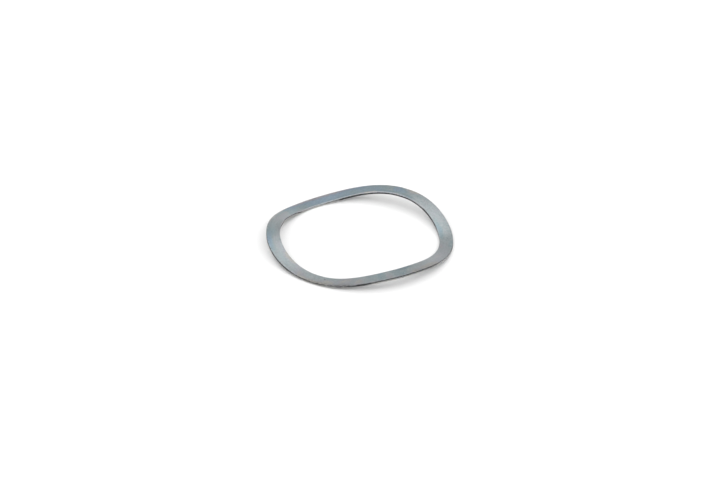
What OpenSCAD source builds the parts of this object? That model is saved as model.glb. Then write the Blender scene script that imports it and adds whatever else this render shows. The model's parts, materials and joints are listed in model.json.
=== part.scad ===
// Wave washer, the spring kind of shim washer. A flat ring is blanked from thin
// spring steel, tumbled, pressed into three waves and zinc plated.
// It lies on its three troughs at z = 0, the axis of its bore is Z, and angles
// are read from +X, seen from above.

/* [Ring] */
// Outside diameter, which drops into the housing's bore
outside_d = 61.5; // [40:0.5:90]
// Width of the strip, from the bore to the rim
strip_w = 4.5; // [2:0.1:8]
// Thickness of the strip
strip_t = 0.95; // [0.3:0.05:1.5]

/* [Waves] */
// Rise of the tall crest above the troughs
tall_rise = 4; // [1:0.1:6]
// Rise of the crest on the left
left_rise = 2.9; // [1:0.1:6]
// Rise of the crest at the front
front_rise = 3.1; // [1:0.1:6]
// How far round the second trough lies past an even third of the ring, in degrees
trough_creep = 6; // [-12:1:12]
// Flat that the press leaves on each trough and each crest, in degrees of the ring
land_angle = 4; // [2:0.5:8]

/* [Edges] */
// How far tumbling has rounded each edge in from its corner
edge_round = 0.14; // [0.1:0.02:0.3]
// How much of the rounded edge the finished diameters trim off
edge_trim = 0.03; // [0.02:0.01:0.06]

/* [Hidden] */
$fn = 180;

zinc = [0.62, 0.65, 0.68];

inside_d = outside_d - 2 * strip_w;
mid_r = (outside_d - strip_w) / 2;
top_z = strip_t + max(tall_rise, left_rise, front_rise);

// How far the trimming tools reach past the ring, above and below it
reach = 1;

// Facets from one bend to the next, and round each edge
bend_steps = 30;
edge_steps = 8;

// The troughs and crests in turn: the angle of each and its rise
bends = [
    [0, 0],
    [60, tall_rise],
    [120 + trough_creep, 0],
    [180, left_rise],
    [240, 0],
    [300, front_rise],
    [360, 0],
];

// A station on the slope between two bends: its angle, its rise and the lean of
// the strip there. The slope is half a cosine wave that leaves both lands level.
function station(from, to, part) =
    let (
        run = to[0] - from[0] - land_angle,
        climb = to[1] - from[1],
        angle = from[0] + land_angle / 2 + run * part,
        rise = from[1] + climb * (1 - cos(180 * part)) / 2,
        climb_per_radian = 90 * climb * sin(180 * part) / run
    )
    [angle, rise, atan(climb_per_radian / mid_r)];

stations = [
    for (i = [1 : len(bends) - 1], k = [0 : bend_steps])
        station(bends[i - 1], bends[i], k / bend_steps)
];

// The strip's section about its own middle, with half an ellipse at each edge.
// It is a little wider than the strip, for the finished diameters to trim.
section = [
    for (side = [1, -1], k = [0 : edge_steps])
        let (turn = 180 * k / edge_steps - 90)
        side * [
            strip_w / 2 + edge_trim - edge_round * (1 - cos(turn)),
            strip_t / 2 * sin(turn)
        ]
];

// Where a point of the section comes at a station. The section leans with the
// slope, so the strip keeps its thickness all the way round.
function on_ring(place, point) =
    let (
        angle = place[0],
        lean = place[2],
        out = mid_r + point[0],
        along = -point[1] * sin(lean),
        up = strip_t / 2 + place[1] + point[1] * cos(lean)
    )
    [
        out * cos(angle) - along * sin(angle),
        out * sin(angle) + along * cos(angle),
        up
    ];

// Two triangles of skin, between this corner of the section and the next one,
// from this station to the next one
function skin(i, k) =
    let (
        corners = len(section),
        here = i * corners,
        there = (i + 1) % len(stations) * corners,
        next = (k + 1) % corners
    )
    [
        [here + k, here + next, there + next],
        [here + k, there + next, there + k]
    ];

// The pressed ring before its two diameters are finished
module waved_strip() {
    polyhedron(
        points = [for (place = stations, point = section) on_ring(place, point)],
        faces = [
            for (i = [0 : len(stations) - 1], k = [0 : len(section) - 1])
                each skin(i, k)
        ]
    );
}

// A round tool that runs right through the ring
module through(diameter) {
    translate([0, 0, -reach])
        cylinder(d = diameter, h = top_z + 2 * reach);
}

module washer() {
    color(zinc)
        difference() {
            intersection() {
                waved_strip();
                through(outside_d);
            }
            through(inside_d);
        }
}

washer();
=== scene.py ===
"""A zinc-plated wave washer lying on its three troughs, on a plain pale floor.

The CAD part is a ring of thin spring steel, pressed into three uneven waves. Its
level lands are mounts in the record, so the waves drawn here are read from there.
"""

from __future__ import annotations

import json
import logging
import math
from dataclasses import astuple, dataclass, field
from enum import Enum
from typing import Any

import bpy
from mathutils import Matrix, Vector


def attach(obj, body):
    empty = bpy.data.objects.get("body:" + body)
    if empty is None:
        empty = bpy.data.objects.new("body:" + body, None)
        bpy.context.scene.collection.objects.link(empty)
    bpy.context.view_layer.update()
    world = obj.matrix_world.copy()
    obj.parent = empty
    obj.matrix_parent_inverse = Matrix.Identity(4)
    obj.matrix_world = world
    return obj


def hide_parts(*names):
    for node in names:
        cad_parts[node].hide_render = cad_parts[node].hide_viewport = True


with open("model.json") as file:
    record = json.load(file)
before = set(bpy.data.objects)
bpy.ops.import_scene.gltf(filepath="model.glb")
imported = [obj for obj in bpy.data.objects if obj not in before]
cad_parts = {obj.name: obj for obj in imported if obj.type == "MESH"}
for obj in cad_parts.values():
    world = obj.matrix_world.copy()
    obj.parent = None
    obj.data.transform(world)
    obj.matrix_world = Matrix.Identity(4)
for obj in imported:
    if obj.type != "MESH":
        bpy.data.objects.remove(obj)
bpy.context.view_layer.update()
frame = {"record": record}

log = logging.getLogger("wave_washer")

MM = 0.001
WASHER_NODE = "washer"

# Degrees in a radian, and in half a turn
RADIAN = math.degrees(1.0)
HALF_TURN = 180.0

# How far from the strip's middle no tear reaches, as a share of half its width
SOUND_MIDDLE = 0.15

Socket = bpy.types.NodeSocket
Colour = tuple[float, float, float]


class Reach(Enum):
    """Names of the strip's own coordinates, kept on the mesh for its finish.

    Attributes:
        ACROSS: From -1 at the bore to 1 at the rim.
        THROUGH: From -1 on the underside to 1 on the top.
        FROM_BURR: How far a point is from the burred edge, in metres. It grows over the
            cut side, and it is negative in over the face.
        TORN: How far the torn band reaches over the cut side, in metres.
        SPILL: How far torn spots run in over the face, in metres.
        PIT: 1 in the middle of the small pit, down to 0 at its edge.
    """

    ACROSS = "across"
    THROUGH = "through"
    FROM_BURR = "from_burr"
    TORN = "torn_reach"
    SPILL = "torn_spill"
    PIT = "pit"


class Side(Enum):
    """The strip's two cut sides, as the sign of the coordinate across it."""

    BORE = -1.0
    RIM = 1.0


# ---------------------------------------------------------------- node writing


@dataclass(frozen=True)
class Grain:
    """The make-up of a noise.

    Attributes:
        scale: How many of its lumps fit in one unit of what it reads, mostly a metre.
        detail: How many finer layers it has.
        roughness: How strong the finer layers are.
    """

    scale: float
    detail: float
    roughness: float


class NodeWriter:
    """Adds nodes to one tree and links them, so that a tree reads as a formula.

    Attributes:
        STEP: How far to the right of the last node each one stands in the node editor.
        LANES: How many lanes they take in turn.
        LANE_GAP: How far apart the lanes are.
    """

    STEP = 60.0
    LANES = 6
    LANE_GAP = 160.0

    def __init__(self, tree: bpy.types.NodeTree) -> None:
        """Starts writing in a tree."""
        self.tree = tree
        self.count = 0

    def feed(self, socket: Socket, value: Any) -> None:
        """Links a socket to another one, or sets it to a constant.

        Args:
            socket: The input to feed.
            value: A socket to link, or a plain value.
        """
        if isinstance(value, Socket):
            self.tree.links.new(value, socket)
        else:
            socket.default_value = value

    def add(
        self, kind: str, inputs: dict[Any, Any] | None = None, **settings: Any
    ) -> bpy.types.Node:
        """Adds one node.

        Args:
            kind: The node's type in Blender.
            inputs: What feeds its inputs, by name or by number.
            **settings: The node's own properties.

        Returns:
            The new node.
        """
        node = self.tree.nodes.new(kind)
        node.location = (self.count * self.STEP, -(self.count % self.LANES) * self.LANE_GAP)
        self.count += 1
        for name, value in settings.items():
            setattr(node, name, value)
        for key, value in (inputs or {}).items():
            self.feed(node.inputs[key], value)
        return node

    def math(self, operation: str, first: Any, second: Any = 0.0, third: Any = 0.0) -> Socket:
        """Adds a Math node and gives its result.

        Args:
            operation: The operation's name in Blender.
            first: The first operand.
            second: The second operand, if the operation has one.
            third: The third operand, if the operation has one.

        Returns:
            The result's socket.
        """
        node = self.add("ShaderNodeMath", operation=operation)
        for socket, value in zip(node.inputs, (first, second, third)):
            self.feed(socket, value)
        return node.outputs[0]

    def span(self, value: Any, low: Any, high: Any, to_low: Any = 0.0, to_high: Any = 1.0) -> Socket:
        """Maps a value smoothly from one span to another, and holds it at the ends.

        Args:
            value: The value to map.
            low: Where the first span starts.
            high: Where the first span ends.
            to_low: What low becomes.
            to_high: What high becomes.

        Returns:
            The mapped value's socket.
        """
        node = self.add(
            "ShaderNodeMapRange",
            {"Value": value, "From Min": low, "From Max": high, "To Min": to_low, "To Max": to_high},
            interpolation_type="SMOOTHSTEP",
        )
        return node.outputs["Result"]

    def over_zero(self, value: Any, blur: Any) -> Socket:
        """Gives 1 where a value is over zero and 0 where it is under, with a soft step.

        Args:
            value: The value.
            blur: How far from zero the step reaches.

        Returns:
            The step's socket.
        """
        low = self.math("MULTIPLY", blur, -1.0)
        return self.span(value, low, blur)

    def blend(self, share: Any, first: Any, second: Any) -> Socket:
        """Mixes two numbers, by the second one's share."""
        return self.add("ShaderNodeMix", {"Factor": share, "A": first, "B": second}).outputs[0]

    def tinted(self, share: Any, first: Any, second: Any) -> Socket:
        """Mixes two colours, by the second one's share."""
        node = self.add("ShaderNodeMix", {0: share, 6: first, 7: second}, data_type="RGBA")
        return node.outputs[2]

    def noise(self, place: Any, grain: Grain, seed: Any = None) -> Socket:
        """Adds a noise of about 0 to 1.

        Args:
            place: Where to read it.
            grain: Its make-up.
            seed: What its lumps are drawn from, where they need a seed of their own.

        Returns:
            The noise's socket.
        """
        node = self.add(
            "ShaderNodeTexNoise",
            {"Vector": place, "Scale": grain.scale, "Detail": grain.detail, "Roughness": grain.roughness},
        )
        if seed is not None:
            node.noise_dimensions = "4D"
            self.feed(node.inputs["W"], seed)
        return node.outputs["Fac"]

    def about_zero(self, noise: Any) -> Socket:
        """Shifts a noise of about 0 to 1 so that it swings about zero."""
        return self.math("SUBTRACT", noise, 0.5)

    def attribute(self, reach: Reach) -> Socket:
        """Reads one of the strip's own coordinates in a material."""
        return self.add("ShaderNodeAttribute", attribute_name=reach.value).outputs["Fac"]

    def parts(self, vector: Any) -> bpy.types.NodeOutputs:
        """Takes a vector apart into its X, Y and Z."""
        return self.add("ShaderNodeSeparateXYZ", {0: vector}).outputs

    def vector(self, x: Any = 0.0, y: Any = 0.0, z: Any = 0.0) -> Socket:
        """Puts three numbers together as a vector."""
        return self.add("ShaderNodeCombineXYZ", {"X": x, "Y": y, "Z": z}).outputs[0]

    def scaled(self, vector: Any, factor: Any) -> Socket:
        """Multiplies a vector or a colour by a number."""
        node = self.add("ShaderNodeVectorMath", {0: vector, "Scale": factor}, operation="SCALE")
        return node.outputs[0]

    def distance(self, first: Any, second: Any) -> Socket:
        """Measures how far apart two places are."""
        node = self.add("ShaderNodeVectorMath", {0: first, 1: second}, operation="DISTANCE")
        return node.outputs["Value"]

    def bearing(self, place: Any) -> Socket:
        """Gives the angle of a place round the washer's axis.

        Args:
            place: The place.

        Returns:
            The angle's socket, in degrees from +X, from -180 to 180.
        """
        spot = self.parts(place)
        turn = self.math("ARCTAN2", spot["Y"], spot["X"])
        return self.math("MULTIPLY", turn, RADIAN)

    def turn_from(self, angle: Any, centre: Any) -> Socket:
        """Gives the signed turn from one angle to another, the short way round, in degrees."""
        return self.math("WRAP", self.math("SUBTRACT", angle, centre), HALF_TURN, -HALF_TURN)

    def by_side(self, across: Any) -> Socket:
        """Gives 1 towards the strip's two sides, and 0 in its middle."""
        return self.math("GREATER_THAN", self.math("ABSOLUTE", across), SOUND_MIDDLE)


class GroupWriter(NodeWriter):
    """Writes in a node group, and has its inputs at hand."""

    def __init__(self, tree: bpy.types.NodeTree) -> None:
        """Starts writing in a group that has its inputs already."""
        super().__init__(tree)
        self.given = self.add("NodeGroupInput").outputs

    def stored(self, geometry: Any, reach: Reach, value: Any) -> Socket:
        """Stores one of the strip's own coordinates.

        Args:
            geometry: What to store it on.
            reach: Which coordinate.
            value: Its value.

        Returns:
            The geometry with it stored.
        """
        node = self.add(
            "GeometryNodeStoreNamedAttribute",
            {"Geometry": geometry, "Name": reach.value, "Value": value},
            data_type="FLOAT",
            domain="POINT",
        )
        return node.outputs[0]

    def kept(self, reach: Reach) -> Socket:
        """Reads one of the coordinates that are stored."""
        node = self.add("GeometryNodeInputNamedAttribute", {"Name": reach.value}, data_type="FLOAT")
        return node.outputs[0]

    def position(self) -> Socket:
        """Reads the place of each point."""
        return self.add("GeometryNodeInputPosition").outputs[0]


def number_group(
    name: str, kind: str, inputs: tuple[str, ...], outputs: tuple[str, ...]
) -> bpy.types.NodeTree:
    """Makes an empty node group whose inputs and outputs are all numbers.

    Args:
        name: The group's name.
        kind: The type of its tree in Blender.
        inputs: Names of its inputs.
        outputs: Names of its outputs.

    Returns:
        The group.
    """
    tree = bpy.data.node_groups.new(name, kind)
    for way, names in (("INPUT", inputs), ("OUTPUT", outputs)):
        for socket in names:
            tree.interface.new_socket(name=socket, in_out=way, socket_type="NodeSocketFloat")
    return tree


# ---------------------------------------------------------------- the wave rule


@dataclass(frozen=True)
class Crest:
    """One crest of the ring, with the two troughs that it stands between.

    Attributes:
        angle: Where its middle is, in radians from +X.
        rise: How far it stands above the troughs, in metres.
        before: How far back the trough before it is, in radians.
        after: How far on the trough after it is, in radians.
    """

    angle: float
    rise: float
    before: float
    after: float


# The inputs that the crests' fields have in the node trees, in the same order
CREST_INPUTS = ("Angle", "Rise", "Before", "After")


@dataclass(frozen=True)
class RingSizes:
    """The ring's sizes, in metres and radians. All but the last two are in the frame.

    Attributes:
        outside_r: Radius of the rim.
        inside_r: Radius of the bore.
        crests: The crests in turn.
        thickness: Thickness of the strip, as the CAD part has it.
        land: Angle of the level land on each trough and crest, as it has it.
    """

    outside_r: float
    inside_r: float
    crests: tuple[Crest, ...]
    thickness: float = 0.95 * MM
    land: float = math.radians(4.0)

    @property
    def strip_w(self) -> float:
        """Width of the strip, from the bore to the rim."""
        return self.outside_r - self.inside_r

    @property
    def middle_r(self) -> float:
        """Radius of the strip's middle line."""
        return (self.outside_r + self.inside_r) / 2

    @classmethod
    def from_frame(cls, record: dict[str, Any]) -> RingSizes:
        """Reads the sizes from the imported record's mounts.

        Args:
            record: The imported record.

        Returns:
            The ring's sizes.
        """
        mounts = {mount["name"]: mount for mount in record["mounts"]}

        def places(start: str) -> list[tuple[float, float]]:
            """Gives the angle and height of each mount whose name starts so, in turn."""
            found = (mount["pos_m"] for name, mount in mounts.items() if name.startswith(start))
            return sorted((math.atan2(y, x) % math.tau, z) for x, y, z in found)

        troughs = [angle for angle, _ in places("seat_")]
        crests = tuple(
            Crest(
                angle=angle,
                rise=top - cls.thickness,
                before=min((angle - trough) % math.tau for trough in troughs),
                after=min((trough - angle) % math.tau for trough in troughs),
            )
            for angle, top in places("crest_")
        )
        return cls(
            outside_r=mounts["rim"]["dims"]["r_mm"] * MM,
            inside_r=mounts["bore"]["dims"]["r_mm"] * MM,
            crests=crests,
        )


# ---------------------------------------------------------------- finishes


def opaque(colour: Colour) -> tuple[float, float, float, float]:
    """Gives a colour its full alpha."""
    return (*colour, 1.0)


class Film(Enum):
    """Thickness of the passivated film, as the colour that it shows.

    The values are places on the film's colour ramp, from the thinnest film up.
    """

    STRAW = 0.0
    ROSE = 0.15
    BLUE = 0.35
    TEAL = 0.55
    GREEN_GREY = 0.70
    LILAC = 0.78
    SECOND_STRAW = 0.88
    SECOND_ROSE = 1.0


@dataclass(frozen=True)
class FilmPatch:
    """A soft-edged patch of the ring where the film tends to one thickness.

    Attributes:
        angle: Its middle, in degrees from +X.
        across: Its middle across the strip, from -1 at the bore to 1 at the rim.
        half_length: Half its length round the ring, in degrees.
        half_width: Half its width, in half widths of the strip.
        film: The film's place on the ramp there.
        lean: How far it leans round the ring on its way from middle to rim, in degrees.
        tone: How bright the plate is there, as a factor.
    """

    angle: float
    across: float
    half_length: float
    half_width: float
    film: float
    lean: float = 0.0
    tone: float = 1.0


# The inputs that the patches' fields have in the node trees, in the same order
PATCH_INPUTS = ("Centre", "Centre Across", "Half Length", "Half Width", "Own Film", "Lean", "Own Tone")

FILM_PATCHES = (
    FilmPatch(14, -0.70, 15, 0.7, 0.50),
    FilmPatch(24, 0.60, 10, 0.9, 0.69, tone=0.95),
    FilmPatch(38, 0.30, 12, 1.6, 0.71, tone=0.95),
    FilmPatch(52, -0.10, 9, 1.4, 0.65, tone=1.04),
    FilmPatch(56, 0.90, 9, 0.8, 0.87, tone=1.14),
    FilmPatch(62, -0.10, 6, 1.4, 0.45, tone=1.04),
    FilmPatch(55, -0.90, 10, 0.7, 0.54, tone=0.95),
    FilmPatch(66, 0.20, 4, 1.2, 0.32),
    FilmPatch(84, 0.00, 20, 1.8, 0.44),
    FilmPatch(75, -0.90, 16, 0.6, 0.46, tone=0.94),
    FilmPatch(84, -1.00, 9, 0.4, 0.86),
    FilmPatch(84, 1.05, 22, 0.8, 0.76),
    FilmPatch(56, 0.80, 6, 0.6, 0.90, tone=1.08),
    FilmPatch(116, -0.10, 30, 1.6, 0.38),
    FilmPatch(104, -0.90, 14, 0.6, 0.40, tone=0.93),
    FilmPatch(144, -0.10, 14, 1.2, 0.50, -5),
    FilmPatch(157, 0.00, 14, 1.7, 0.75, -4, 0.90),
    FilmPatch(120, 1.05, 60, 1.0, 0.1),
    FilmPatch(158, 1.05, 24, 0.5, 0.97),
    FilmPatch(179, 0.20, 13, 1.3, 0.57, tone=1.07),
    FilmPatch(172, -1.00, 14, 1.1, 0.69, tone=0.91),
    FilmPatch(192, 0.70, 16, 0.8, 0.40, tone=1.04),
    FilmPatch(194, -0.50, 16, 0.8, 0.72, tone=1.02),
    FilmPatch(212, 0.40, 10, 0.9, 0.66, tone=1.03),
    FilmPatch(213, -0.90, 14, 0.7, 0.87, tone=0.95),
    FilmPatch(238, -0.20, 10, 1.2, 0.68, 4, 1.1),
    FilmPatch(228, 0.20, 6, 1.4, 0.80, 5),
    FilmPatch(236, 0.95, 16, 0.7, 0.88, tone=1.06),
    FilmPatch(250, 0.50, 8, 1.0, 0.88, tone=1.04),
    FilmPatch(262, 0.00, 7, 1.6, 0.82),
    FilmPatch(243, -0.80, 13, 0.9, 0.63, tone=1.1),
    FilmPatch(271, 0.40, 4, 1.1, 0.88),
    FilmPatch(279, -0.10, 6, 1.4, 0.62, tone=0.98),
    FilmPatch(286, -0.10, 5, 1.4, 0.55, tone=0.96),
    FilmPatch(291, 0.30, 3, 1.2, 0.78, tone=0.95),
    FilmPatch(299, -0.10, 9, 1.6, 0.57, tone=0.95),
    FilmPatch(303, -0.90, 12, 0.8, 0.52, tone=0.81),
    FilmPatch(308, 0.80, 5, 0.7, 0.90, tone=0.96),
    FilmPatch(321, 0.60, 13, 0.8, 0.92, tone=0.96),
    FilmPatch(318, -0.60, 12, 0.8, 0.70, tone=0.95),
    FilmPatch(338, 0.00, 15, 1.6, 0.77, tone=0.98),
    FilmPatch(341, -0.90, 11, 0.9, 0.72),
    FilmPatch(352, -0.90, 7, 0.8, 0.82),
    FilmPatch(357, 0.80, 10, 0.7, 0.60, tone=1.06),
)


class PlateWriter(NodeWriter):
    """Writes in the plate's material, and has at hand where the surface point is."""

    def __init__(self, tree: bpy.types.NodeTree) -> None:
        """Starts writing with the point's place in space and in the strip.

        Args:
            tree: The material's node tree.
        """
        super().__init__(tree)
        self.place = self.add("ShaderNodeTexCoord").outputs["Object"]
        self.across = self.attribute(Reach.ACROSS)
        self.through = self.attribute(Reach.THROUGH)
        self.from_burr = self.attribute(Reach.FROM_BURR)


@dataclass(frozen=True)
class DieChatter:
    """The fine slanted marks that the blanking die left by the rim.

    Attributes:
        per_degree: How many marks there are in a degree.
        lean: How many marks they lean by from middle to rim.
        marks: Their make-up, where one unit is one mark.
        contrast: Heights of their noise between which they go from dark to light.
        fade: Places across the strip between which they come up.
        depth: How far they change the reach of the torn band, in metres.
        bite: How far they shift its upper edge at the rim, in metres.
        shade: How far they change the plate's brightness at the rim.
    """

    per_degree: float = 0.95
    lean: float = 4.0
    marks: Grain = Grain(1.0, 2.0, 0.5)
    contrast: tuple[float, float] = (0.35, 0.65)
    fade: tuple[float, float] = (0.6, 1.0)
    depth: float = 0.9 * MM
    bite: float = 0.16 * MM
    shade: float = 0.3

    def write(self, pen: PlateWriter) -> tuple[Socket, Socket]:
        """Writes the nodes for the marks.

        Args:
            pen: The material's writer.

        Returns:
            A noise about zero, in narrow lumps that lean as they cross the strip, and the
            swing from dark to light that it makes by the rim, from -1 to 1.
        """
        turn = pen.math("MULTIPLY", pen.bearing(pen.place), self.per_degree)
        leant = pen.math("MULTIPLY_ADD", pen.across, self.lean, turn)
        noise = pen.noise(pen.vector(leant, pen.across), self.marks)
        swing = pen.span(noise, *self.contrast, -1.0, 1.0)
        return pen.about_zero(noise), pen.math("MULTIPLY", swing, pen.span(pen.across, *self.fade))


@dataclass(frozen=True)
class TornSteel:
    """The dark part of the cut sides, where the steel tore, and its spots on the face.

    Attributes:
        colour: Its colour.
        roughness: Its roughness.
        glint: Colour of the small facets that catch the light in it.
        facets: Make-up of those facets.
        glint_from: Heights of their noise between which they come up.
        crumbs: Make-up of the crumbs along the band's far edge.
        crumb_depth: How far they change the band's reach, in metres.
        blur: How softly that edge ends, in metres.
        scuff: Colour of the spots on the face.
        scuff_share: How strongly they show.
        scuff_in: How far in from the burred edge they are all scuff, in metres.
        grit: Make-up of the spots.
        grit_level: Height of their noise from which they run in over the face.
        scatter: How far they run in for each unit of that noise, in reaches of the spill.
        spot_blur: How softly they end, in metres.
        scatter_blur: How much softer they end for each metre of that.
    """

    colour: Colour = (0.03, 0.031, 0.034)
    roughness: float = 0.6
    glint: Colour = (0.2, 0.2, 0.198)
    facets: Grain = Grain(4600.0, 2.0, 0.6)
    glint_from: tuple[float, float] = (0.53, 0.68)
    crumbs: Grain = Grain(2900.0, 3.0, 0.7)
    crumb_depth: float = 0.45 * MM
    blur: float = 0.03 * MM
    scuff: Colour = (0.13, 0.112, 0.09)
    scuff_share: float = 0.75
    scuff_in: float = 0.12 * MM
    grit: Grain = Grain(3600.0, 3.0, 0.7)
    grit_level: float = 0.49
    scatter: float = 4.0
    spot_blur: float = 0.02 * MM
    scatter_blur: float = 0.04

    def on_face(self, pen: PlateWriter) -> Socket:
        """Gives 0 on the cut side, up to 1 in on the face."""
        return pen.span(pen.from_burr, 0.0, -self.scuff_in)

    def cover(self, pen: PlateWriter, marks: Any, bite: Any) -> Socket:
        """Writes the nodes that say where the torn steel shows.

        Args:
            pen: The material's writer.
            marks: How far the die's marks change the band's reach.
            bite: How far they shift its upper edge.

        Returns:
            Its cover, from 0 to 1.
        """
        crumbs = pen.about_zero(pen.noise(pen.place, self.crumbs))
        ragged = pen.math("MULTIPLY_ADD", crumbs, self.crumb_depth, pen.attribute(Reach.TORN))
        ragged = pen.math("ADD", marks, ragged)
        band = pen.over_zero(pen.math("SUBTRACT", ragged, pen.from_burr), self.blur)
        band = pen.math("MULTIPLY", band, pen.by_side(pen.across))

        spill = pen.attribute(Reach.SPILL)
        strewn = pen.math("MULTIPLY", pen.math("MAXIMUM", spill, 0.0), self.scatter)
        grit = pen.math("SUBTRACT", pen.noise(pen.place, self.grit), self.grit_level)
        specks = pen.math("MULTIPLY_ADD", grit, strewn, pen.math("MINIMUM", spill, 0.0))
        specks = pen.math("ADD", bite, specks)
        blur = pen.math("MULTIPLY_ADD", strewn, self.scatter_blur, self.spot_blur)
        spilt = pen.over_zero(pen.math("ADD", pen.from_burr, specks), blur)

        faint = pen.span(self.on_face(pen), 0.0, 1.0, 1.0, self.scuff_share)
        torn = pen.math("MULTIPLY", pen.math("MULTIPLY", band, faint), spilt)
        return pen.math("MAXIMUM", torn, pen.attribute(Reach.PIT))

    def colours(self, pen: PlateWriter) -> Socket:
        """Writes the nodes for the torn steel's colour on the cut side and on the face.

        Args:
            pen: The material's writer.

        Returns:
            The colour's socket.
        """
        glint = pen.span(pen.noise(pen.place, self.facets), *self.glint_from)
        on_side = pen.tinted(glint, opaque(self.colour), opaque(self.glint))
        return pen.tinted(self.on_face(pen), on_side, opaque(self.scuff))


@dataclass(frozen=True)
class ZincPlate:
    """Blue-white zinc plate over rolled, tumbled and pressed spring steel.

    Attributes:
        name: The material's name.
        film: The film's place on its ramp where no patch reaches.
        patches: The patches of other thickness.
        patch_edge: Distances from a patch's middle, in its own sizes, between which it
            fades in.
        ramp: Colour of each thickness, from the thinnest up.
        roughness: Roughness of the plate.
        lumps: Make-up of the film's lumps.
        mottle: How far the film wanders in them.
        streak_lines: Make-up of the streaks that rolling left.
        streak_length: How many times longer than wide they are.
        rolling: Their direction, in degrees from +X.
        streak: How far the film wanders in them.
        crystals: Make-up of the plate's grain.
        fine_crystals: Make-up of the finer grain in its surface.
        fine_share: How high the finer grain is beside the other.
        noise_core: Heights between which most of a noise lies.
        crystal_tones: Tones that the grain goes between, as factors.
        streak_tones: Tones that the streaks go between.
        painted_rim_shade: How much darker the plate is painted by the rim, as a factor: a
            painted shade for the face's slight roll-over there, which turns it from the light.
        painted_rim_shade_span: Places across the strip between which the painted shade comes in.
        bump_share: How strongly the grain tilts the surface.
        bump_depth: How deep the grain is, in metres.
        underside_turn: How far the underside's patches are turned from the top's, in degrees.
        underside_film: What the underside's film tends to, where the bath drained off it.
        underside_share: How strongly it tends to that.
        cut_film: What the film tends to on the cut sides.
        cut_share: How strongly it tends to that.
        cut_fade: Distances from the strip's middle between which it comes to.
        chatter: The die's marks by the rim.
        torn: The torn steel of the cut sides.
    """

    name: str = "blue_white_zinc_plate"
    film: float = 0.69
    patches: tuple[FilmPatch, ...] = FILM_PATCHES
    patch_edge: tuple[float, float] = (1.0, 0.25)
    ramp: tuple[tuple[Film, Colour], ...] = (
        (Film.STRAW, (0.422, 0.397, 0.362)),
        (Film.ROSE, (0.345, 0.345, 0.384)),
        (Film.BLUE, (0.271, 0.349, 0.423)),
        (Film.TEAL, (0.286, 0.351, 0.371)),
        (Film.GREEN_GREY, (0.347, 0.379, 0.388)),
        (Film.LILAC, (0.356, 0.367, 0.400)),
        (Film.SECOND_STRAW, (0.403, 0.398, 0.370)),
        (Film.SECOND_ROSE, (0.341, 0.352, 0.377)),
    )
    roughness: float = 0.42
    lumps: Grain = Grain(700.0, 4.0, 0.6)
    mottle: float = 0.36
    streak_lines: Grain = Grain(2400.0, 3.0, 0.6)
    streak_length: float = 12.0
    rolling: float = 126.0
    streak: float = 0.16
    crystals: Grain = Grain(2600.0, 3.0, 0.65)
    fine_crystals: Grain = Grain(9000.0, 2.0, 0.6)
    fine_share: float = 0.3
    noise_core: tuple[float, float] = (0.3, 0.7)
    crystal_tones: tuple[float, float] = (0.84, 1.16)
    streak_tones: tuple[float, float] = (0.98, 1.02)
    # Painted shade: the plate is drawn darker by the rim, for the face's slight roll-over there
    painted_rim_shade: float = 0.92
    painted_rim_shade_span: tuple[float, float] = (-0.2, 1.0)
    bump_share: float = 0.25
    bump_depth: float = 0.02 * MM
    underside_turn: float = 150.0
    underside_film: float = 0.86
    underside_share: float = 0.9
    cut_film: float = 0.86
    cut_share: float = 0.7
    cut_fade: tuple[float, float] = (0.94, 0.99)
    chatter: DieChatter = DieChatter()
    torn: TornSteel = TornSteel()

    def patch_group(self) -> bpy.types.NodeTree:
        """Makes the node group that bends the film towards one patch's thickness and tone.

        Returns:
            The group, with the film and tone so far and the patch's own values as inputs.
        """
        so_far = ("Film", "Tone")
        inputs = (*so_far, "Angle", "Across", *PATCH_INPUTS)
        tree = number_group("film_patch", "ShaderNodeTree", inputs, so_far)
        pen = GroupWriter(tree)
        given = pen.given
        leant = pen.math("MULTIPLY_ADD", given["Across"], given["Lean"], given["Centre"])
        along = pen.math("DIVIDE", pen.turn_from(given["Angle"], leant), given["Half Length"])
        aside = pen.math("SUBTRACT", given["Across"], given["Centre Across"])
        aside = pen.math("DIVIDE", aside, given["Half Width"])
        reach = pen.math("ADD", pen.math("MULTIPLY", along, along), pen.math("MULTIPLY", aside, aside))
        share = pen.span(pen.math("SQRT", reach), *self.patch_edge)
        film = pen.blend(share, given["Film"], given["Own Film"])
        tone = pen.blend(share, given["Tone"], given["Own Tone"])
        pen.add("NodeGroupOutput", {"Film": film, "Tone": tone})
        return tree

    def film_field(self, pen: PlateWriter) -> tuple[Socket, Socket]:
        """Writes the nodes that give the film's thickness and the plate's tone everywhere.

        Args:
            pen: The material's writer.

        Returns:
            The film's place on its ramp, and the tone.
        """
        below = pen.math("LESS_THAN", pen.through, 0.0)
        angle = pen.math("MULTIPLY_ADD", below, self.underside_turn, pen.bearing(pen.place))
        group = self.patch_group()
        film: Any = self.film
        tone: Any = 1.0
        for patch in self.patches:
            inputs = {"Film": film, "Tone": tone, "Angle": angle, "Across": pen.across}
            inputs.update(zip(PATCH_INPUTS, astuple(patch)))
            film, tone = pen.add("ShaderNodeGroup", inputs, node_tree=group).outputs
        share = pen.math("MULTIPLY", below, self.underside_share)
        film = pen.blend(share, film, self.underside_film)
        cut = pen.span(pen.math("ABSOLUTE", pen.across), *self.cut_fade)
        film = pen.blend(pen.math("MULTIPLY", cut, self.cut_share), film, self.cut_film)
        return film, tone

    def streaks(self, pen: PlateWriter) -> Socket:
        """Writes the nodes for the faint straight streaks left by rolling.

        Args:
            pen: The material's writer.

        Returns:
            A noise of about 0 to 1, drawn out along the rolling direction.
        """
        turned = pen.add("ShaderNodeMapping", {"Vector": pen.place}, vector_type="TEXTURE")
        turned.inputs["Rotation"].default_value = (0.0, 0.0, math.radians(self.rolling))
        turned.inputs["Scale"].default_value = (self.streak_length, 1.0, 1.0)
        return pen.noise(turned.outputs[0], self.streak_lines)

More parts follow.
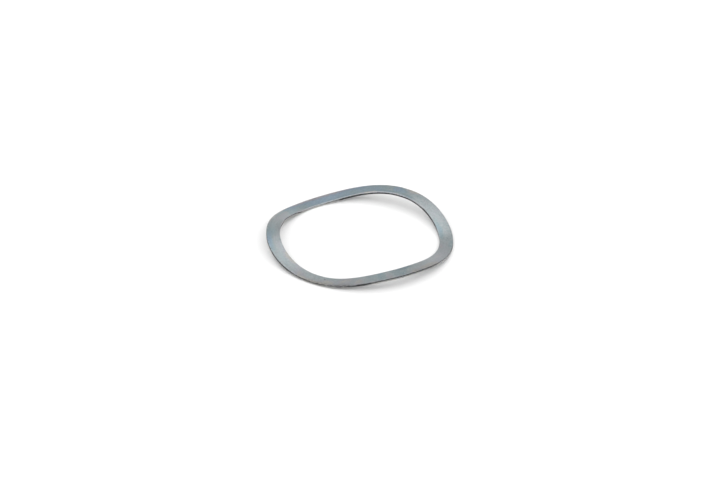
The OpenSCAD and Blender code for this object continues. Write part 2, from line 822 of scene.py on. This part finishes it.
    def film_colour(self, pen: PlateWriter, film: Any) -> Socket:
        """Writes the ramp that shows the film's thickness as a colour.

        Args:
            pen: The material's writer.
            film: The film's place on the ramp.

        Returns:
            The colour's socket.
        """
        node = pen.add("ShaderNodeValToRGB", {"Fac": film})
        stops = node.color_ramp.elements
        stops.remove(stops[-1])
        (level, colour), *thicker = self.ramp
        stops[0].position = level.value
        stops[0].color = opaque(colour)
        for level, colour in thicker:
            stops.new(level.value).color = opaque(colour)
        return node.outputs["Color"]

    def tone(self, pen: PlateWriter, grain: Any, streaks: Any) -> Socket:
        """Writes the nodes for the plate's brightness in its grain and streaks, with painted shade by the
        rim.

        Args:
            pen: The material's writer.
            grain: The noise of the grain.
            streaks: The noise of the streaks.

        Returns:
            The brightness, as a factor.
        """
        by_grain = pen.span(grain, *self.noise_core, *self.crystal_tones)
        by_streak = pen.span(streaks, *self.noise_core, *self.streak_tones)
        # Painted shade: darker towards the rim, for the face's slight roll-over away from the light
        rim_shade = pen.span(pen.across, *self.painted_rim_shade_span, 1.0, self.painted_rim_shade)
        return pen.math("MULTIPLY", pen.math("MULTIPLY", by_grain, by_streak), rim_shade)

    def build(self) -> bpy.types.Material:
        """Makes the material.

        Returns:
            The finished material.
        """
        material = bpy.data.materials.new(self.name)
        material.use_nodes = True
        tree = material.node_tree
        tree.nodes.clear()
        pen = PlateWriter(tree)
        lumps = pen.noise(pen.place, self.lumps)
        streaks = self.streaks(pen)
        grain = pen.noise(pen.place, self.crystals)
        marks, swing = self.chatter.write(pen)

        film, patch_tone = self.film_field(pen)
        film = pen.math("MULTIPLY_ADD", pen.about_zero(lumps), self.mottle, film)
        film = pen.math("MULTIPLY_ADD", pen.about_zero(streaks), self.streak, film)
        tone = pen.math("MULTIPLY", self.tone(pen, grain, streaks), patch_tone)
        tone = pen.math("MULTIPLY", tone, pen.math("MULTIPLY_ADD", swing, self.chatter.shade, 1.0))
        plate = pen.scaled(self.film_colour(pen, film), tone)

        reach = pen.math("MULTIPLY", marks, self.chatter.depth)
        bite = pen.math("MULTIPLY", swing, self.chatter.bite)
        dark = self.torn.cover(pen, reach, bite)
        colour = pen.tinted(dark, plate, self.torn.colours(pen))
        rough = pen.span(dark, 0.0, 1.0, self.roughness, self.torn.roughness)
        fine = pen.noise(pen.place, self.fine_crystals)
        height = pen.math("MULTIPLY_ADD", fine, self.fine_share, grain)
        bump = pen.add(
            "ShaderNodeBump", {"Height": height, "Strength": self.bump_share, "Distance": self.bump_depth}
        ).outputs["Normal"]
        shader = pen.add(
            "ShaderNodeBsdfPrincipled",
            {"Base Color": colour, "Metallic": 1.0, "Roughness": rough, "Normal": bump},
        )
        pen.add("ShaderNodeOutputMaterial", {"Surface": shader.outputs[0]})
        return material


@dataclass(frozen=True)
class PaleFloor:
    """The plain white floor that the washer lies on.

    Attributes:
        name: The material's name.
        colour: Its colour.
        roughness: Its roughness.
        specular: How much of a mirror's glare it has.
    """

    name: str = "pale_floor"
    colour: Colour = (0.80, 0.80, 0.80)
    roughness: float = 0.9
    specular: float = 0.0

    def build(self) -> bpy.types.Material:
        """Makes the material.

        Returns:
            The finished material.
        """
        material = bpy.data.materials.new(self.name)
        material.use_nodes = True
        shader = material.node_tree.nodes["Principled BSDF"]
        shader.inputs["Base Color"].default_value = opaque(self.colour)
        shader.inputs["Roughness"].default_value = self.roughness
        shader.inputs["Specular IOR Level"].default_value = self.specular
        return material


# ---------------------------------------------------------------- the washer


@dataclass(frozen=True)
class EdgeStretch:
    """A stretch of one cut side where the steel tore more, or less, than elsewhere.

    Attributes:
        side: Which cut side it is on.
        angle: Its middle, in degrees from +X.
        half_length: Half its length, in degrees.
        torn: How far the torn band reaches there, in thicknesses.
        spill: How far torn spots run in over the face beside it, in thicknesses, if not as
            far as elsewhere. Where it is negative, the torn band starts that far up the side.
    """

    side: Side
    angle: float
    half_length: float
    torn: float
    spill: float | None = None


@dataclass
class Washer:
    """The ring: a strip with blanked edges, swept round three waves.

    Attributes:
        sizes: The ring's sizes from the frame.
        stations: How many sections the sweep has.
        pitch: Longest facet across the strip, in metres.
        corner_points: How many points each rounded corner of the section has.
        roll_r: Radius that blanking rolled onto the bore's upper and the rim's lower edge.
        burr_r: Radius that tumbling left on the other two, where the steel tore last.
        torn: How far the torn band reaches over each side from there, in thicknesses.
        stretches: Where it reaches more or less far.
        band_blur: How softly the bites end at the band's far edge, in metres.
        spill_blur: How softly they end at its upper edge, in metres.
        bites: Make-up of the bites.
        burr_depth: How deep they are, in metres.
        pit_angle: Where the one small pit in the top is, in radians.
        pit_r: How far the pit is from the axis.
        pit_w: The pit's radius.
        pit_edge: Shares of that radius between which the pit deepens.
        pit_depth: The pit's depth.
        seed: Seed of the edge's roughness.
        finish: The finish of the whole ring.
    """

    sizes: RingSizes
    stations: int = 640
    pitch: float = 0.22 * MM
    corner_points: int = 5
    roll_r: float = 0.12 * MM
    burr_r: float = 0.06 * MM
    torn: float = 0.55
    stretches: tuple[EdgeStretch, ...] = (
        EdgeStretch(Side.BORE, 27, 15, 0.85),
        EdgeStretch(Side.BORE, 97, 12, 0.68),
        EdgeStretch(Side.BORE, 114, 10, 0.62, -0.4),
        EdgeStretch(Side.BORE, 129, 14, 0.66, -0.58),
        EdgeStretch(Side.BORE, 153, 16, 0.92, -0.6),
        EdgeStretch(Side.RIM, 211, 12, 0.62),
        EdgeStretch(Side.RIM, 236, 16, 0.42),
        EdgeStretch(Side.RIM, 300, 36, 0.5),
        EdgeStretch(Side.RIM, 252, 20, 0.55, 2.4),
        EdgeStretch(Side.RIM, 267, 14, 0.82),
        EdgeStretch(Side.RIM, 338, 14, 0.24),
    )
    band_blur: float = 0.1 * MM
    spill_blur: float = 0.05 * MM
    bites: Grain = Grain(1800.0, 3.0, 0.65)
    burr_depth: float = 0.03 * MM
    pit_angle: float = math.radians(247.5)
    pit_r: float = 27.7 * MM
    pit_w: float = 0.34 * MM
    pit_edge: tuple[float, float] = (1.0, 0.2)
    pit_depth: float = 0.06 * MM
    seed: float = 4.0
    finish: ZincPlate = field(default_factory=ZincPlate)

    def crest_group(self) -> bpy.types.NodeTree:
        """Makes the node group that gives one crest's height at a bearing.

        Returns:
            The group, with the bearing and the crest's own sizes as inputs.
        """
        inputs = ("Bearing", "Land", *CREST_INPUTS)
        tree = number_group("one_crest", "GeometryNodeTree", inputs, ("Height",))
        pen = GroupWriter(tree)
        given = pen.given
        away = pen.math("SUBTRACT", given["Bearing"], given["Angle"])
        away = pen.math("WRAP", away, math.pi, -math.pi)
        ahead = pen.math("GREATER_THAN", away, 0.0)
        reach = pen.blend(ahead, given["Before"], given["After"])
        half_land = pen.math("MULTIPLY", given["Land"], 0.5)
        past_land = pen.math("SUBTRACT", pen.math("ABSOLUTE", away), half_land)
        slope = pen.math("SUBTRACT", reach, given["Land"])
        part = pen.math("DIVIDE", past_land, slope)
        part = pen.math("MAXIMUM", pen.math("MINIMUM", part, 1.0), 0.0)
        swing = pen.math("COSINE", pen.math("MULTIPLY", part, math.pi))
        share = pen.math("MULTIPLY_ADD", swing, 0.5, 0.5)
        height = pen.math("MULTIPLY", share, given["Rise"])
        pen.add("NodeGroupOutput", {"Height": height})
        return tree

    def inputs(self, finish: bpy.types.Material) -> dict[str, Any]:
        """Gives the sweep's named inputs and their values.

        Args:
            finish: The ring's material.

        Returns:
            Values by input name, in the order that the tree lists them.
        """
        values: dict[str, Any] = {
            "Middle Radius": self.sizes.middle_r,
            "Strip Width": self.sizes.strip_w,
            "Strip Thickness": self.sizes.thickness,
            "Land": self.sizes.land,
            "Stations": self.stations,
            "Pitch": self.pitch,
            "Corner Points": self.corner_points,
            "Roll Radius": self.roll_r,
            "Burr Radius": self.burr_r,
            "Torn Share": self.torn,
            "Burr Depth": self.burr_depth,
            "Pit Angle": self.pit_angle,
            "Pit Radius": self.pit_r,
            "Pit Width": self.pit_w,
            "Pit Depth": self.pit_depth,
            "Seed": self.seed,
        }
        for number, crest in enumerate(self.sizes.crests, 1):
            for name, value in zip(CREST_INPUTS, astuple(crest)):
                values[f"Crest {number} {name}"] = value
        values["Finish"] = finish
        return values

    def section(self, pen: GroupWriter) -> Socket:
        """Writes the nodes that draw the strip's section.

        The sweep turns the section over, so its -Y side becomes the upper face.

        Args:
            pen: The tree's writer.

        Returns:
            The closed section curve, with its own coordinates stored on it.
        """
        outline = pen.add(
            "GeometryNodeCurvePrimitiveQuadrilateral",
            {"Width": pen.given["Strip Width"], "Height": pen.given["Strip Thickness"]},
        ).outputs[0]
        corner = pen.parts(pen.position())
        rolled = pen.math("GREATER_THAN", pen.math("MULTIPLY", corner["X"], corner["Y"]), 0.0)
        rounding = pen.blend(rolled, pen.given["Burr Radius"], pen.given["Roll Radius"])
        rounded = pen.add(
            "GeometryNodeFilletCurve",
            {"Curve": outline, "Count": pen.given["Corner Points"], "Radius": rounding},
            mode="POLY",
        ).outputs[0]
        here = pen.position()
        next_index = pen.add("GeometryNodeOffsetPointInCurve", {"Offset": 1}).outputs["Point Index"]
        there = pen.add(
            "GeometryNodeFieldAtIndex", {"Value": here, "Index": next_index}, data_type="FLOAT_VECTOR"
        ).outputs[0]
        cuts = pen.math("FLOOR", pen.math("DIVIDE", pen.distance(here, there), pen.given["Pitch"]))
        fine = pen.add("GeometryNodeSubdivideCurve", {"Curve": rounded, "Cuts": cuts}).outputs[0]
        place = pen.parts(pen.position())
        half_w = pen.math("MULTIPLY", pen.given["Strip Width"], 0.5)
        half_t = pen.math("MULTIPLY", pen.given["Strip Thickness"], 0.5)
        up = pen.math("MULTIPLY", place["Y"], -1.0)
        inset = pen.math("SUBTRACT", half_w, pen.math("ABSOLUTE", place["X"]))
        beyond = pen.math("MULTIPLY_ADD", inset, pen.math("SIGN", up), up)
        beyond = pen.math("MULTIPLY", beyond, pen.math("SIGN", place["X"]))
        stored = {
            Reach.ACROSS: pen.math("DIVIDE", place["X"], half_w),
            Reach.THROUGH: pen.math("DIVIDE", up, half_t),
            Reach.FROM_BURR: pen.math("SUBTRACT", half_t, beyond),
        }
        for reach, value in stored.items():
            fine = pen.stored(fine, reach, value)
        return fine

    def rail(self, pen: GroupWriter) -> Socket:
        """Writes the nodes that draw the waved middle line of the strip.

        Args:
            pen: The tree's writer.

        Returns:
            The closed rail curve.
        """
        ring = pen.add(
            "GeometryNodeCurvePrimitiveCircle",
            {"Resolution": pen.given["Stations"], "Radius": pen.given["Middle Radius"]},
        ).outputs[0]
        spot = pen.parts(pen.position())
        bearing = pen.math("ARCTAN2", spot["Y"], spot["X"])
        height = pen.math("MULTIPLY", pen.given["Strip Thickness"], 0.5)
        group = self.crest_group()
        for number in range(1, len(self.sizes.crests) + 1):
            inputs = {"Bearing": bearing, "Land": pen.given["Land"]}
            inputs.update({name: pen.given[f"Crest {number} {name}"] for name in CREST_INPUTS})
            crest = pen.add("GeometryNodeGroup", inputs, node_tree=group)
            height = pen.math("ADD", height, crest.outputs["Height"])
        lift = pen.vector(z=height)
        waved = pen.add("GeometryNodeSetPosition", {"Geometry": ring, "Offset": lift}).outputs[0]
        return pen.add("GeometryNodeSetCurveNormal", {"Curve": waved}, mode="Z_UP").outputs[0]

    def torn_band(self, pen: GroupWriter, place: Any, across: Any) -> tuple[Socket, Socket]:
        """Writes the nodes that say how far the torn band reaches.

        Args:
            pen: The tree's writer.
            place: The surface point.
            across: Where it is across the strip.

        Returns:
            How far it reaches over the side and in over the face, in metres.
        """
        angle = pen.bearing(place)
        thickness = pen.given["Strip Thickness"]
        share: Any = pen.given["Torn Share"]
        spill: Any = pen.math("DIVIDE", pen.given["Burr Radius"], thickness)
        for stretch in self.stretches:
            turn = pen.math("ABSOLUTE", pen.turn_from(angle, stretch.angle))
            near = pen.span(turn, stretch.half_length, stretch.half_length / 2)
            own = pen.math("GREATER_THAN", pen.math("MULTIPLY", across, stretch.side.value), 0.0)
            near = pen.math("MULTIPLY", near, own)
            share = pen.blend(near, share, stretch.torn)
            if stretch.spill is not None:
                spill = pen.blend(near, spill, stretch.spill)
        return pen.math("MULTIPLY", share, thickness), pen.math("MULTIPLY", spill, thickness)

    def pit(self, pen: GroupWriter, place: Any, through: Any) -> Socket:
        """Writes the nodes for the one small pit in the top face.

        Args:
            pen: The tree's writer.
            place: The surface point.
            through: Where it is through the strip.

        Returns:
            The pit's depth at the point, from 0 to 1.
        """
        spot = pen.parts(place)
        east = pen.math("MULTIPLY", pen.math("COSINE", pen.given["Pit Angle"]), pen.given["Pit Radius"])
        north = pen.math("MULTIPLY", pen.math("SINE", pen.given["Pit Angle"]), pen.given["Pit Radius"])
        away = pen.distance(pen.vector(spot["X"], spot["Y"]), pen.vector(east, north))
        away = pen.math("DIVIDE", away, pen.given["Pit Width"])
        on_top = pen.math("GREATER_THAN", through, 0.5)
        return pen.math("MULTIPLY", pen.span(away, *self.pit_edge), on_top)

    def worn(self, pen: GroupWriter, mesh: Any) -> Socket:
        """Writes the nodes that bite the torn edge and sink the pit.

        Args:
            pen: The tree's writer.
            mesh: The clean sweep.

        Returns:
            The sweep with its small faults, all cut inwards.
        """
        place = pen.position()
        normal = pen.add("GeometryNodeInputNormal").outputs[0]
        across, through, from_burr = (
            pen.kept(reach) for reach in (Reach.ACROSS, Reach.THROUGH, Reach.FROM_BURR)
        )
        band, spill = self.torn_band(pen, place, across)
        marked = pen.stored(mesh, Reach.TORN, band)
        marked = pen.stored(marked, Reach.SPILL, spill)
        torn = pen.over_zero(pen.math("SUBTRACT", band, from_burr), self.band_blur)
        below_spill = pen.over_zero(pen.math("ADD", from_burr, spill), self.spill_blur)
        torn = pen.math("MULTIPLY", torn, below_spill)
        torn = pen.math("MULTIPLY", torn, pen.by_side(across))
        bite = pen.noise(place, self.bites, pen.given["Seed"])
        burr = pen.math("MULTIPLY", pen.math("MULTIPLY", bite, torn), pen.given["Burr Depth"])

        pit = self.pit(pen, place, through)
        marked = pen.stored(marked, Reach.PIT, pit)
        sink = pen.math("MULTIPLY", pit, pen.given["Pit Depth"])
        depth = pen.math("MULTIPLY", pen.math("ADD", burr, sink), -1.0)
        offset = pen.scaled(normal, depth)
        return pen.add("GeometryNodeSetPosition", {"Geometry": marked, "Offset": offset}).outputs[0]

    def tree(self, values: dict[str, Any]) -> bpy.types.NodeTree:
        """Makes the sweep's node tree.

        Args:
            values: Its named inputs and their values, which give each one's type.

        Returns:
            The tree.
        """
        tree = bpy.data.node_groups.new("waved_strip", "GeometryNodeTree")
        kinds = {int: "NodeSocketInt", float: "NodeSocketFloat", bpy.types.Material: "NodeSocketMaterial"}
        for name, value in values.items():
            tree.interface.new_socket(name=name, in_out="INPUT", socket_type=kinds[type(value)])
        tree.interface.new_socket(name="Ring", in_out="OUTPUT", socket_type="NodeSocketGeometry")
        pen = GroupWriter(tree)
        swept = pen.add(
            "GeometryNodeCurveToMesh",
            {"Curve": self.rail(pen), "Profile Curve": self.section(pen)},
        ).outputs[0]
        worn = self.worn(pen, swept)
        smooth = pen.add("GeometryNodeSetShadeSmooth", {"Geometry": worn}).outputs[0]
        real = pen.add("GeometryNodeRealizeInstances", {"Geometry": smooth}).outputs[0]
        dressed = pen.add("GeometryNodeSetMaterial", {"Geometry": real, "Material": pen.given["Finish"]})
        pen.add("NodeGroupOutput", {"Ring": dressed.outputs[0]})
        return tree

    def build(self) -> bpy.types.Object:
        """Makes the ring and hands it to the frame.

        Returns:
            The finished object.
        """
        finish = self.finish.build()
        values = self.inputs(finish)
        tree = self.tree(values)
        ring = bpy.data.objects.new("waved_ring", bpy.data.meshes.new("waved_ring_start"))
        bpy.context.scene.collection.objects.link(ring)
        sweep = ring.modifiers.new("sweep", "NODES")
        sweep.node_group = tree
        for item in tree.interface.items_tree:
            if item.in_out == "INPUT":
                sweep[item.identifier] = values[item.name]
        depsgraph = bpy.context.evaluated_depsgraph_get()
        mesh = bpy.data.meshes.new_from_object(
            ring.evaluated_get(depsgraph), preserve_all_data_layers=True, depsgraph=depsgraph
        )
        ring.modifiers.clear()
        mesh.name = "waved_ring"
        ring.data = mesh
        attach(ring, "root")
        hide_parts(WASHER_NODE)
        log.info("%s: %d vertices, %d faces", ring.name, len(mesh.vertices), len(mesh.polygons))
        return ring


# ---------------------------------------------------------------- the studio


@dataclass(frozen=True)
class LightTent:
    """The white light tent all round, brighter in front than behind.

    An unlit gap in its back wall gives the steel something dark to reflect, and a bright
    panel stands over the gap. Heights are in degrees over the floor. Directions are in
    degrees from +Y towards +X.

    Attributes:
        glow: Brightness of its walls by the floor.
        front_glow: Brightness higher up in front.
        back_glow: Brightness higher up behind.
        panel_glow: Brightness of the panel over the gap.
        roof_glow: Brightness of its roof.
        rise: Heights between which the walls go from glow to the other two.
        roof: Heights between which the roof takes over.
        back_azimuth: Direction of the dimmer side.
        back_turn: Turns from there between which the walls go from dim to bright.
        gap_low: Height where the gap starts.
        gap_high: Height where it ends.
        gap_blur: How softly it starts and ends.
        gap_azimuth: Direction of its middle.
        gap_turn: Turns from there between which it fades out.
        gap_depth: Share of the light that is missing in it.
        colour: Colour of all its light.
    """

    glow: float = 1.64
    front_glow: float = 1.9
    back_glow: float = 1.2
    panel_glow: float = 2.4
    roof_glow: float = 1.2
    rise: tuple[float, float] = (2.0, 18.0)
    roof: tuple[float, float] = (52.0, 66.0)
    back_azimuth: float = -20.0
    back_turn: tuple[float, float] = (60.0, 130.0)
    gap_low: float = 21.0
    gap_high: float = 42.0
    gap_blur: float = 6.0
    gap_azimuth: float = -3.0
    gap_turn: tuple[float, float] = (26.0, 48.0)
    gap_depth: float = 0.93
    colour: Colour = (1.0, 1.0, 1.0)

    def build(self) -> bpy.types.World:
        """Makes the tent as the scene's world.

        Returns:
            The world.
        """
        world = bpy.data.worlds.new("light_tent")
        world.use_nodes = True
        pen = NodeWriter(world.node_tree)
        way = pen.parts(pen.add("ShaderNodeTexCoord").outputs["Generated"])
        climb = pen.math("MULTIPLY", pen.math("ARCSINE", way["Z"]), RADIAN)
        round_to = pen.math("MULTIPLY", pen.math("ARCTAN2", way["X"], way["Y"]), RADIAN)

        from_gap = pen.math("ABSOLUTE", pen.turn_from(round_to, self.gap_azimuth))
        facing = pen.span(from_gap, *reversed(self.gap_turn))
        above = pen.span(climb, self.gap_low - self.gap_blur, self.gap_low + self.gap_blur)
        below = pen.span(climb, self.gap_high + self.gap_blur, self.gap_high - self.gap_blur)
        gap = pen.math("MULTIPLY", pen.math("MULTIPLY", above, below), facing)
        left = pen.math("SUBTRACT", 1.0, pen.math("MULTIPLY", gap, self.gap_depth))

        from_back = pen.math("ABSOLUTE", pen.turn_from(round_to, self.back_azimuth))
        upper = pen.span(from_back, *self.back_turn, self.back_glow, self.front_glow)
        wall = pen.blend(pen.span(climb, *self.rise), self.glow, upper)
        over_gap = pen.span(climb, self.gap_high - self.gap_blur, self.gap_high + self.gap_blur)
        wall = pen.blend(pen.math("MULTIPLY", over_gap, facing), wall, self.panel_glow)
        wall = pen.blend(pen.span(climb, *self.roof), wall, self.roof_glow)
        light = world.node_tree.nodes["Background"]
        light.inputs["Color"].default_value = opaque(self.colour)
        pen.feed(light.inputs["Strength"], pen.math("MULTIPLY", wall, left))
        bpy.context.scene.world = world
        return world


@dataclass(frozen=True)
class Viewpoint:
    """Where the camera stands.

    Attributes:
        azimuth: How far round from the front it stands, in degrees.
        elevation: How steeply it looks down, in degrees.
        roll: How far it is tipped to its left, in degrees.
        distance: How far off it stands, in metres.
        ring_share: The rim's diameter as a share of the picture's width.
        aim_side: How far to the right of the axis it aims, in metres.
        aim_rise: How far over the floor it aims, in metres.
        sensor: Width of its sensor, in millimetres.
        near: How near it sees, in metres.
        far: How far it sees, in metres.
    """

    azimuth: float = 1.3
    elevation: float = 31.09
    roll: float = 0.53
    distance: float = 1.54
    ring_share: float = 0.2598
    aim_side: float = 0.1 * MM
    aim_rise: float = 0.78 * MM
    sensor: float = 36.0
    near: float = 0.01
    far: float = 50.0

    def build(self, rim_d: float) -> bpy.types.Object:
        """Makes the scene's camera.

        Args:
            rim_d: The rim's diameter, in metres.

        Returns:
            The camera's object.
        """
        data = bpy.data.cameras.new("bench_camera")
        data.sensor_width = self.sensor
        data.lens = self.sensor * self.distance / (rim_d / self.ring_share)
        data.clip_start = self.near
        data.clip_end = self.far
        camera = bpy.data.objects.new("bench_camera", data)
        turn, tilt = math.radians(self.azimuth), math.radians(self.elevation)
        level = Vector((math.sin(turn), -math.cos(turn), 0.0)) * math.cos(tilt)
        back = level + Vector((0.0, 0.0, math.sin(tilt)))
        facing = back.to_track_quat("Z", "Y").to_matrix()
        tipped = facing @ Matrix.Rotation(math.radians(self.roll), 3, "Z")
        camera.rotation_euler = tipped.to_euler()
        camera.location = Vector((self.aim_side, 0.0, self.aim_rise)) + back * self.distance
        bpy.context.scene.collection.objects.link(camera)
        bpy.context.scene.camera = camera
        return camera


@dataclass
class Studio:
    """The pale floor, the light tent and the camera.

    Attributes:
        floor_side: Length of the floor's side, in metres.
        tent: The light tent.
        viewpoint: Where the camera stands.
    """

    floor_side: float = 12.0
    tent: LightTent = field(default_factory=LightTent)
    viewpoint: Viewpoint = field(default_factory=Viewpoint)

    def floor(self) -> bpy.types.Object:
        """Makes the floor.

        Returns:
            The floor's object.
        """
        half = self.floor_side / 2
        mesh = bpy.data.meshes.new("pale_floor")
        corners = [(-half, -half, 0.0), (half, -half, 0.0), (half, half, 0.0), (-half, half, 0.0)]
        mesh.from_pydata(corners, [], [range(len(corners))])
        mesh.materials.append(PaleFloor().build())
        floor = bpy.data.objects.new("pale_floor", mesh)
        bpy.context.scene.collection.objects.link(floor)
        return floor

    def build(self, rim_d: float) -> None:
        """Makes the whole studio.

        Args:
            rim_d: The rim's diameter, in metres.
        """
        self.floor()
        self.tent.build()
        self.viewpoint.build(rim_d)
        bpy.context.scene.view_settings.view_transform = "Standard"


def main() -> None:
    """Builds the washer and its studio."""
    logging.basicConfig(level=logging.INFO, format="%(name)s: %(message)s")
    sizes = RingSizes.from_frame(frame["record"])
    Washer(sizes).build()
    Studio().build(2 * sizes.outside_r)


if __name__ == "__main__":
    main()
